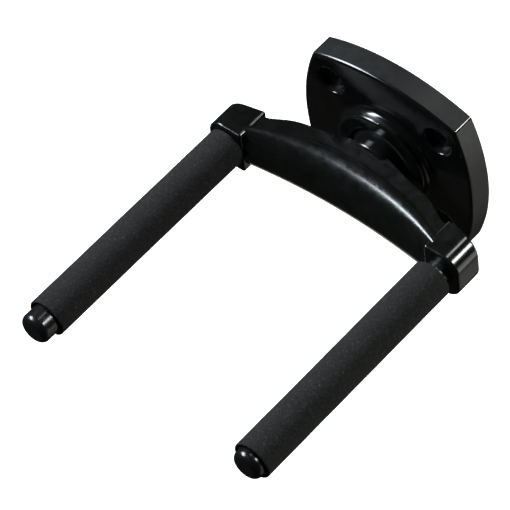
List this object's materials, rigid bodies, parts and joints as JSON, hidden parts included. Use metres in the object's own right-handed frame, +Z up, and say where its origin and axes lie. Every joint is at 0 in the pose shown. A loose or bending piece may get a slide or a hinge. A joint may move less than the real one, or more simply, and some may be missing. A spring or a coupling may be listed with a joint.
{
  "type": "wall guitar hanger",
  "caption": "Wall hanger with a bowed square cast plate and a swivelling crescent yoke that carries parallel foam-sleeved arms with domed end caps.",
  "frame": {"origin": "centre of the wall plate's back face, on the swivel axis", "axes": "+X to the right seen from the room, +Y into the wall along the swivel axis, +Z up; the arms run out along -Y"},
  "size_m": [0.0942, 0.1204, 0.0632],
  "materials": {
    "gloss_black_casting": "glossy black enamel on a zinc casting",
    "black_rod": "semi-gloss black coated steel rod",
    "blackened_steel": "black oxide",
    "zinc_plated_steel": "bright zinc plate",
    "black_nylon": "matte moulded nylon",
    "gloss_black_plastic": "glossy moulded plastic",
    "black_foam": "matte fine-celled neoprene foam"
  },
  "bodies": {
    "wall_side": {"wall_plate": "gloss_black_casting", "pivot_bush": "black_nylon", "rear_washer": "zinc_plated_steel"},
    "swivelling_yoke": {"yoke": "gloss_black_casting", "pivot_screw": "blackened_steel", "wave_washer": "zinc_plated_steel", "arm_lock_screws": "blackened_steel", "left_rod": "black_rod", "right_rod": "black_rod", "left_sleeve": "black_foam", "right_sleeve": "black_foam", "left_cap": "gloss_black_plastic", "right_cap": "gloss_black_plastic"}
  },
  "joints": [
    {"name": "yoke_swivel", "type": "hinge", "parent": "wall_side", "child": "swivelling_yoke", "pos_m": [0, -0.008, 0], "axis": [0, 1, 0], "continuous": true}
  ]
}
